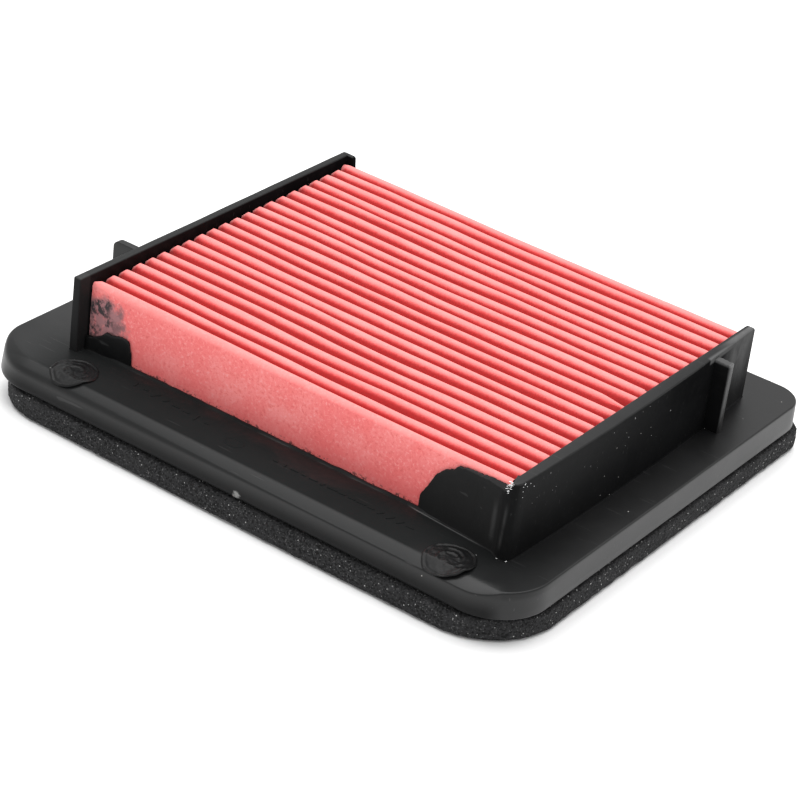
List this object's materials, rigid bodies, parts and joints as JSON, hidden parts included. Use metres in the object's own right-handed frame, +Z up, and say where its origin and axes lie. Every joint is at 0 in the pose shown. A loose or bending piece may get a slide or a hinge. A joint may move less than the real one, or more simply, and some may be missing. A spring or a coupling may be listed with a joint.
{
  "type": "motorcycle panel air filter",
  "caption": "Rectangular panel air filter: red pleated paper held between end walls on a black moulded flange, with a foam sealing gasket under its edge.",
  "frame": {"origin": "centre of the bounding box in plan, on the plane that the foam gasket rests on", "axes": "+X along the pleats towards the right end wall, +Z up through the paper pack from the gasket to the tips, so -Y is the side where the first paper panel stands free"},
  "size_m": [0.2038, 0.1718, 0.0436],
  "materials": {
    "frame_plastic": "moulded black plastic, satin, with dust and faint flow marks",
    "filter_paper": "oiled red filter paper, matt and fibrous",
    "gasket_foam": "open-cell black foam, matt, with fine sparkle on the cell walls",
    "adhesive_film": "thin amber double-sided adhesive film",
    "hot_melt": "translucent hot-melt glue, smooth"
  },
  "bodies": {
    "root": {"flange_frame": "frame_plastic", "end_wall_left": "frame_plastic", "end_wall_right": "frame_plastic", "gusset_left": "frame_plastic", "gusset_right": "frame_plastic", "flash_front_right": "frame_plastic", "flash_front_left": "frame_plastic", "flash_back_left": "frame_plastic", "flash_back_right": "frame_plastic", "gate_pad_left": "frame_plastic", "gate_pad_right": "frame_plastic", "pleated_paper": "filter_paper", "foam_gasket": "gasket_foam", "gasket_adhesive": "adhesive_film", "spacer_bead_1": "hot_melt", "spacer_bead_2": "hot_melt", "spacer_bead_3": "hot_melt"}
  },
  "joints": []
}
